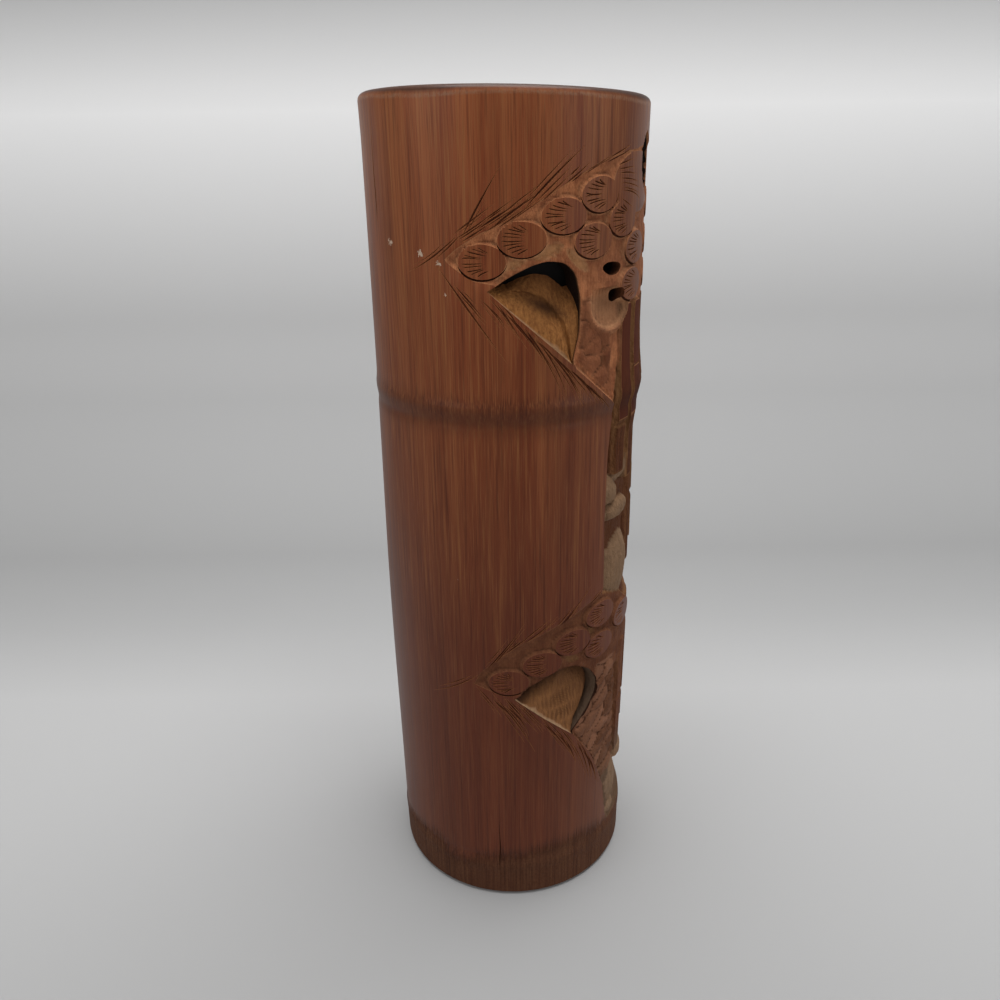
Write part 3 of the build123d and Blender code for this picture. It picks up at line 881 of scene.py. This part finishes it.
def bambooFinish():
    f = Finish("bambooCulm")
    z, y = f.axis("Z"), f.axis("Y")
    broad = f.noise((60.0, 60.0, 4.0), 3.0, 0.5)
    wide = f.noise((260.0, 260.0, 7.0), 4.0, 0.55)
    fine = f.noise((1100.0, 1100.0, 22.0), 3.0, 0.6)
    hair = f.noise((3400.0, 3400.0, 60.0), 2.0, 0.5)
    cloud = f.noise((32.0, 32.0, 14.0), 3.0, 0.5)
    speck = f.noise((1900.0, 1900.0, 1100.0), 3.0, 0.6)
    # paler high up and darker towards the foot: painted light, falling off from above
    upper = f.blend(wide, 0.32, 0.68, tint(145, 72, 38), tint(170, 100, 58))
    lower = f.blend(wide, 0.32, 0.68, tint(92, 43, 25), tint(106, 53, 31))
    skin = f.blend(z, 0.12, 0.30, lower, upper)
    # browner and greyer at the back: painted sheen and light on that side; paler low down at the front:
    # painted light thrown up from the floor
    brown = f.blend(z, 0.1, 0.2, tint(100, 65, 45), tint(96, 62, 40))
    skin = f.mix(f.ramp(y, 0.015, 0.05, 0.0, 0.3), skin, brown)
    skin = f.mix(f.times(f.ramp(z, 0.09, 0.04), f.ramp(y, -0.01, -0.035, 0.0, 0.35)), skin,
                 tint(134, 86, 60))
    # and dimmer high up there: painted shade
    skin = f.mix(f.times(f.ramp(z, 0.11, 0.25), f.ramp(y, -0.01, -0.04, 0.0, 0.65)), skin, tint(84, 50, 36))
    skin = f.stain(skin, f.ramp(broad, 0.42, 0.66), 0.15, tint(66, 25, 13))
    streak = f.ramp(z, 0.08, 0.22, 0.25, 1.0)
    skin = f.stain(skin, f.times(f.ramp(fine, 0.54, 0.70), streak), 0.42, tint(160, 108, 62))
    skin = f.stain(skin, f.times(f.ramp(hair, 0.55, 0.72), streak), 0.45, tint(156, 106, 66))
    skin = f.stain(skin, f.times(f.ramp(hair, 0.45, 0.3), streak), 0.35, tint(62, 27, 15))
    skin = f.stain(skin, f.ramp(fine, 0.46, 0.32), 0.4, tint(56, 24, 13))
    skin = f.stain(skin, f.ramp(cloud, 0.52, 0.74), 0.25, tint(60, 32, 20))
    strip = f.attribute("strip")
    skin = f.mix(f.times(strip, 0.75), skin, tint(70, 26, 17))
    # dark fuzzy band under the middle node, worn brown foot, dark rim
    jitter = f.ramp(hair, 0.2, 0.8, -0.004, 0.004)
    level = f.plus(z, jitter)
    band = f.times(f.ramp(level, 0.196, 0.204, smooth=True), f.ramp(level, 0.214, 0.206, smooth=True))
    skin = f.mix(f.times(band, 0.5), skin, tint(56, 29, 18))
    lowLevel = f.plus(level, f.ramp(cloud, 0.3, 0.7, -0.007, 0.007))
    worn = f.blend(fine, 0.3, 0.68, tint(62, 41, 30), tint(100, 72, 53))
    worn = f.stain(worn, f.ramp(speck, 0.5, 0.66), 0.5, tint(40, 26, 19))
    foot = f.ramp(lowLevel, 0.0225, 0.0150, smooth=True)
    skin = f.mix(foot, skin, f.mix(0.68, skin, worn))
    fibres = f.times(f.ramp(lowLevel, 0.0245, 0.0205, smooth=True),
                     f.ramp(lowLevel, 0.0140, 0.0185, smooth=True))
    skin = f.mix(f.times(fibres, f.ramp(fine, 0.35, 0.6, 0.38, 0.1)), skin, tint(40, 23, 16))
    rim = f.plus(f.attribute("rim"), f.ramp(cloud, 0.3, 0.7, -0.5, 0.5))
    skin = f.stain(skin, f.ramp(rim, 2.0, 0.9), 0.84, tint(44, 32, 27))
    # a pale line where the lip starts to round: partly bare worn wood, partly a painted highlight
    rimWearAndHighlight = f.times(f.times(f.ramp(rim, 3.2, 2.6), f.ramp(rim, 1.6, 2.2)),
                      f.ramp(speck, 0.4, 0.6, 0.1, 0.5))
    skin = f.mix(rimWearAndHighlight, skin, tint(150, 118, 94))
    for angle, height, radius in flecks:
        turn = np.radians(-angle)
        chip = f.times(f.spot(tuple(onCulm(turn, culm["radius"], height)), radius), speck)
        skin = f.blend(chip, 0.36, 0.40, skin, tint(196, 172, 150))
    # cut wood: brown near the skin, tan in the depth, pale on steep walls and along the cut edge, partly
    # fresh-cut wood and partly a painted highlight
    kind, depth, hollow, steep, panel, scooped, broken = (f.attribute(name) for name in (
        "cutKind", "cutDepth", "hollow", "steep", "panel", "scooped", "broken"))
    mottle = f.noise((240.0, 240.0, 190.0), 3.0, 0.6)
    wood = f.blend(mottle, 0.4, 0.62, tint(148, 84, 54), tint(196, 124, 82))
    wood = f.blend(depth, 1.2, 3.2, wood, tint(150, 96, 60))
    dark, pale = f.mix(0.3, wood, tint(92, 52, 33)), f.mix(0.2, wood, tint(186, 132, 92))
    wood = f.blend(hair, 0.35, 0.65, dark, pale)
    wood = f.blend(z, 0.13, 0.2, f.mix(0.75, wood, tint(72, 43, 32)), wood)
    wood = f.blend(z, 0.065, 0.05, wood, tint(104, 80, 62))
    # painted shade in the hollows of the ground
    wood = f.stain(wood, f.ramp(hollow, 0.15, 0.9), 0.5, tint(50, 27, 17))
    # painted shade: the ground dimmer high up at the front
    wood = f.mix(f.times(f.ramp(z, 0.2, 0.24), f.ramp(y, -0.02, -0.04, 0.0, 0.5)), wood, tint(112, 72, 52))
    wood = f.mix(f.times(panel, 0.72), wood, tint(80, 45, 28))
    stalk = f.blend(fine, 0.35, 0.65, tint(64, 34, 22), tint(92, 54, 36))
    wood = f.mix(f.times(strip, 0.85), wood, stalk)
    paleEdge = f.times(f.times(steep, panel), f.ramp(depth, 3.0, 1.6, 0.0, 0.35))
    wood = f.mix(paleEdge, wood, tint(182, 136, 88))
    stone = f.blend(z, 0.07, 0.14, tint(146, 118, 94), tint(142, 114, 88))
    stone = f.blend(fine, 0.35, 0.65, f.mix(0.3, stone, tint(84, 62, 46)), stone)
    # painted shade in the hollows of the rocks
    stone = f.stain(stone, f.ramp(hollow, 0.2, 0.9), 0.6, tint(52, 36, 26))
    wood = f.mix(f.times(f.attribute("stone"), 0.85), wood, stone)
    gouged = f.blend(z, 0.13, 0.2, tint(132, 94, 62), tint(204, 150, 102))
    wood = f.mix(f.times(scooped, 0.85), wood, gouged)
    # pale on steep walls near the skin: partly fresh-cut wood, partly a painted highlight where light from
    # above catches them
    paleWall = f.times(f.ramp(depth, 0.3, 1.3, 0.2, 0.7), f.ramp(panel, 0.0, 1.0, 1.0, 0.2))
    wood = f.mix(f.times(steep, f.times(paleWall, f.ramp(z, 0.13, 0.2, 0.2, 1.0))), wood,
                 tint(192, 142, 102))
    # bark cells, with painted shade in the grooves between them
    shards = f.blend(broken, -0.6, 0.7, tint(104, 69, 50), tint(146, 102, 78))
    shards = f.blend(hollow, 0.2, 0.9, shards, tint(76, 49, 36))
    scales = f.blend(broken, -0.6, 0.7, tint(100, 57, 38), tint(130, 79, 54))
    scales = f.blend(hollow, 0.2, 0.9, scales, tint(92, 55, 38))
    bark = f.blend(z, 0.12, 0.2, shards, scales)
    wood = f.mix(f.times(f.attribute("bark"), 0.8), wood, bark)
    # pale along the cut edge high up: partly fresh-cut wood, partly a painted highlight
    wood = f.mix(f.times(f.ramp(depth, 0.16, 0.02), f.ramp(z, 0.12, 0.22, 0.25, 0.7)), wood,
                 tint(164, 114, 78))
    # painted shadow: near black on the walls of the deep cut beside the highest disc
    notchShadow = f.times(f.times(f.ramp(z, 0.266, 0.269), f.ramp(scooped, 0.01, 0.08)), f.ramp(depth, 0.5, 0.9))
    wood = f.mix(notchShadow, wood, tint(24, 15, 11))
    floorWood = f.blend(fine, 0.35, 0.7, tint(132, 84, 46), tint(168, 114, 64))
    floorWood = f.stain(floorWood, f.ramp(hair, 0.5, 0.3), 0.3, tint(84, 48, 26))
    # painted shade: the floor darker where it lies deep
    floorWood = f.stain(floorWood, f.ramp(depth, 3.0, 8.0), 0.55, tint(92, 54, 32))
    floorWood = f.blend(z, 0.12, 0.2, f.mix(0.4, floorWood, tint(116, 84, 64)), floorWood)
    # painted shadows under the upper floor's crease and under the lower floor's arch
    floorWood = f.mix(f.times(f.attribute("paintedShadow"), 0.9), floorWood, tint(52, 30, 19))
    # painted shade in the troughs of the flutes
    flute = f.attribute("flute")
    floorWood = f.stain(floorWood, f.times(f.ramp(flute, 0.15, 0.6), 0.65), 0.7, tint(66, 40, 24))
    # pale lip of the sill, broader on the lower window
    lip = f.times(depth, f.ramp(z, 0.12, 0.2, 0.74, 1.0))
    floorWood = f.blend(lip, 0.45, 0.2, floorWood, tint(184, 148, 114))
    # walls of the windows: the lower darker with depth and dark at its outer edge, painted shade; the upper
    # near black past 2 mm in, a painted shadow
    shadedLowWall = f.blend(depth, 3.5, 8.0, tint(106, 86, 70), tint(72, 52, 40))
    shadedLowWall = f.blend(depth, 1.9, 1.4, shadedLowWall, tint(54, 33, 23))
    shadedHighWall = f.blend(depth, 0.6, 2.2, tint(140, 96, 64), tint(30, 18, 12))
    wall = f.blend(z, 0.12, 0.2, shadedLowWall, shadedHighWall)
    # painted shade: the drilled holes darker further in
    hole = f.blend(depth, 1.0, 4.0, tint(92, 54, 33), tint(34, 18, 11))
    bore = f.blend(fine, 0.3, 0.7, tint(112, 82, 54), tint(140, 108, 74))
    inside = f.ramp(depth, culm["wall"] - 0.9, culm["wall"] - 0.4)
    skin = f.mix(inside, skin, bore)
    # V cuts: pale lips, brown sides, dark bottom
    pale, dark = f.mix(0.6, skin, tint(168, 114, 74)), f.mix(0.45, skin, tint(56, 28, 17))
    stroke = f.blend(depth, 0.03, 0.14, pale, dark)
    stroke = f.blend(depth, 0.2, 0.36, stroke, tint(70, 37, 25))
    stroke = f.blend(depth, 0.6, 1.1, stroke, tint(100, 60, 40))
    colour = skin
    for number, cut in zip(cutKinds.values(), (wood, floorWood, stroke, hole, wall)):
        colour = f.blend(kind, number - 0.6, number - 0.4, colour, cut)
    f.give("Base Color", colour)
    matt = f.plus(f.ramp(kind, 0.2, 0.6, 0.0, 0.28), f.ramp(foot, 0.0, 1.0, 0.0, 0.2))
    matt = f.plus(matt, f.times(strip, 0.25))
    f.give("Roughness", f.plus(f.ramp(fine, 0.3, 0.7, 0.42, 0.54), matt))
    f.give("Specular IOR Level", 0.08)
    f.give("Coat Weight", f.ramp(matt, 0.0, 0.15, 0.26, 0.0))
    f.give("Coat Roughness", 0.3)
    gouge = f.noise((620.0, 620.0, 420.0), 3.0, 0.6)
    cutFace = f.ramp(kind, 0.4, 0.6)
    rough = f.bump(f.times(speck, foot), 0.0006, 0.7, f.bump(hair, 0.00005, 0.5))
    rough = f.bump(f.times(gouge, cutFace), 0.0012, 0.9, rough)
    f.give("Normal", f.bump(fine, 0.0001, 0.5, rough))
    return f.material


def rawBamboo():  # unpolished wood of the diaphragms
    f = Finish("rawBamboo")
    grain = f.noise((500.0, 500.0, 500.0), 4.0, 0.6)
    stain = f.noise((60.0, 60.0, 60.0), 3.0, 0.5)
    wood = f.blend(grain, 0.3, 0.7, tint(120, 92, 60), tint(160, 128, 88))
    wood = f.stain(wood, f.ramp(stain, 0.5, 0.75), 0.5, tint(84, 58, 36))
    f.give("Base Color", wood)
    f.give("Roughness", 0.8)
    f.give("Normal", f.bump(grain, 0.0002, 0.6))
    return f.material


def dullTin():  # tinned sheet gone grey, near black on the side towards the bamboo: painted shade for the pierced gaps that look onto it
    f = Finish("dullTin")
    stain = f.noise((90.0, 90.0, 40.0), 4.0, 0.6)
    grey = f.blend(stain, 0.35, 0.7, tint(72, 66, 60), tint(104, 98, 90))
    outside = f.attribute("outside")
    black = f.blend(stain, 0.4, 0.7, tint(20, 16, 14), tint(34, 28, 24))
    f.give("Base Color", f.mix(outside, grey, black))
    f.give("Metallic", f.ramp(outside, 0.0, 1.0, 0.85, 0.2))
    f.give("Roughness", f.plus(f.ramp(stain, 0.3, 0.7, 0.48, 0.64), f.times(outside, 0.25)))
    f.give("Normal", f.bump(stain, 0.0003, 0.3))
    return f.material


culmPiece.data.materials.clear()
culmPiece.data.materials.append(bambooFinish())
print("culm: finished")

# the water liner: a rolled hem at its top and a soldered lap down its back

linerLow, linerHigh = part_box("liner_tube")
liner = dict(hemTall=5.0, hemThick=1.4, sheet=0.8, lap=7.0, lapThick=0.45, columns=160, rows=12)
liner["base"], liner["top"] = linerLow.z / mm, linerHigh.z / mm
liner["hemRadius"] = (linerHigh.x - linerLow.x) / mm / 2.0
liner["radius"] = liner["hemRadius"] - (liner["hemThick"] - liner["sheet"])


def buildLiner():  # outline of the sheet and its hem carried round the axis, a little thicker along the lap
    turn = np.arange(liner["columns"]) * 2.0 * np.pi / liner["columns"]
    inner = liner["radius"] - liner["sheet"]
    curl = np.linspace(0.0, np.pi, 9)
    hemMid = 0.5 * (liner["hemRadius"] + inner)
    hemHalf = 0.5 * (liner["hemRadius"] - inner)
    base, top, rows = liner["base"], liner["top"], liner["rows"]
    hemLow = top - liner["hemTall"]
    outline = np.concatenate([
        [(inner, base), (liner["radius"], base)],
        [(liner["radius"], z) for z in np.linspace(base + 8.0, hemLow - 1.0, rows)],
        [(liner["radius"] + 0.1, hemLow), (liner["hemRadius"], hemLow + 0.5)],
        np.stack([hemMid + hemHalf * np.cos(curl), top - hemHalf + hemHalf * np.sin(curl)], axis=1),
        [(inner, z) for z in np.linspace(top - 3.0, base + 8.0, rows)]])
    radius, z = outline[:, :1], outline[:, 1:]
    back = np.abs(turn - np.pi) * liner["radius"]
    lap = liner["lapThick"] * easeIn(back, liner["lap"] * 0.5 + 0.6, liner["lap"] * 0.5 - 0.6)
    dents = 0.12 * ripple(turn * liner["radius"], z, 45.0, key=21)
    sheet = radius < liner["radius"] + 0.05
    outer = np.arange(len(outline))[:, None] < len(outline) - rows
    relief = np.where(sheet & outer, lap, 0.0) * easeIn(z, base, base + 4.0)
    relief = relief + np.where(sheet, dents, 0.0) * easeIn(z, base, base + 10.0)
    points = onCulm(turn, radius + relief, z)
    piece = makeMesh("liner", points, gridQuads(len(outline), liner["columns"], True, True))
    # the outer face takes the painted black shade
    dark = (z < hemLow + 0.2) & outer & (radius > inner + 0.2)
    dark = np.broadcast_to(dark, points.shape[:2]).astype(np.float32)
    piece.data.attributes.new("outside", "FLOAT", "POINT").data.foreach_set("value", dark.ravel())
    piece.data.polygons.foreach_set("use_smooth", np.ones(len(piece.data.polygons), bool))
    piece.data.set_sharp_from_angle(angle=np.radians(40.0))
    return piece


tin = dullTin()
linerPiece = buildLiner()
linerPiece.data.materials.append(tin)
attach(linerPiece, "liner")
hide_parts("liner_tube")
raw = rawBamboo()
for node, finish in (("foot_septum", raw), ("mid_septum_ring", raw), ("liner_base", tin)):
    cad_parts[node].data.materials.clear()
    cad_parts[node].data.materials.append(finish)
print("liner and diaphragms: finished")

# camera at the photograph's angle

shot = dict(lens=30.6, sensor=36.0, pitch=0.40137, roll=-0.016511, place=(-0.306924, 0.003472, 0.286843))
forward = Vector((np.cos(shot["pitch"]), 0.0, -np.sin(shot["pitch"])))
upward = Vector((np.sin(shot["pitch"]), 0.0, np.cos(shot["pitch"])))
right = Vector((0.0, -1.0, 0.0))
rolledRight = np.cos(shot["roll"]) * right + np.sin(shot["roll"]) * upward
rolledUp = np.cos(shot["roll"]) * upward - np.sin(shot["roll"]) * right
lens = bpy.data.cameras.new("photoCamera")
lens.lens, lens.sensor_width = shot["lens"], shot["sensor"]
lens.clip_start, lens.clip_end = 0.01, 20.0
camera = bpy.data.objects.new("photoCamera", lens)
turned = Matrix((rolledRight, rolledUp, -forward)).transposed().to_4x4()
camera.matrix_world = Matrix.Translation(shot["place"]) @ turned
bpy.context.scene.collection.objects.link(camera)
bpy.context.scene.camera = camera

# floor that sweeps up into a backdrop behind the vase, and soft light from above

sweep = dict(
    front=-3.0, near=-0.4, bend=0.20, curve=0.16, far=0.8, top=2.5, half=3.0, rows=40,
    # painted light and shade along the paper: paler and darker bands where the lamps light it more and less
    paintedLight=((-0.20, 0.355), (0.02, 0.455), (0.09, 0.475), (0.17, 0.385), (0.26, 0.32), (0.45, 0.44),
          (0.57, 0.68), (0.67, 0.90), (0.76, 0.40)),
)


def buildSweep():  # a flat line, a quarter circle and a wall, carried sideways
    lap = np.linspace(-np.pi / 2.0, 0.0, 33)
    bend, curve, rows = sweep["bend"], sweep["curve"], sweep["rows"]
    flat, wall = np.linspace(sweep["near"], bend, rows), np.linspace(curve, sweep["far"], rows)
    x = np.concatenate([[sweep["front"]], flat[:-1], bend + curve * np.cos(lap),
                        np.full(rows, bend + curve)])
    z = np.concatenate([np.zeros(rows), curve * (1.0 + np.sin(lap)), wall[1:], [sweep["top"]]])
    across = np.array((-sweep["half"], sweep["half"]))
    points = np.stack(np.broadcast_arrays(x[:, None], across[None, :], z[:, None]), axis=-1).reshape(-1, 3)
    mesh = bpy.data.meshes.new("sweep")
    mesh.from_pydata(points.tolist(), [], gridQuads(len(x), 2)[:, ::-1].tolist())
    mesh.polygons.foreach_set("use_smooth", np.ones(len(mesh.polygons), bool))
    paintedLight = np.repeat(follow(x + z, sweep["paintedLight"]), 2)
    mesh.attributes.new("paintedLight", "FLOAT", "POINT").data.foreach_set("value", paintedLight.astype(np.float32))
    floor = bpy.data.objects.new("sweep", mesh)
    bpy.context.scene.collection.objects.link(floor)
    f = Finish("sweepPaper")
    f.give("Base Color", f.attribute("paintedLight"))
    f.give("Roughness", 0.9)
    f.give("Specular IOR Level", 0.1)
    mesh.materials.append(f.material)


def softLight(name, place, aim, size, power):
    lamp = bpy.data.lights.new(name, "AREA")
    lamp.shape, lamp.size, lamp.energy = "SQUARE", size, power
    light = bpy.data.objects.new(name, lamp)
    light.location = place
    light.rotation_euler = (Vector(aim) - Vector(place)).to_track_quat("-Z", "Y").to_euler()
    bpy.context.scene.collection.objects.link(light)


buildSweep()
softLight("overhead", (0.10, -0.05, 1.1), (0.0, 0.0, 0.1), 0.8, 12.6)
softLight("leftFill", (-0.6, 0.9, 0.6), (0.0, 0.0, 0.15), 0.8, 2.2)
softLight("rightFill", (-0.5, -0.9, 0.4), (0.0, 0.0, 0.1), 0.8, 1.6)
world = bpy.data.worlds.new("studio")
bpy.context.scene.world = world
world.use_nodes = True
sky = world.node_tree.nodes["Background"].inputs
sky["Color"].default_value = (1.0, 1.0, 1.0, 1.0)
sky["Strength"].default_value = 0.40
bpy.context.scene.view_settings.view_transform = "Standard"

bpy.context.view_layer.update()
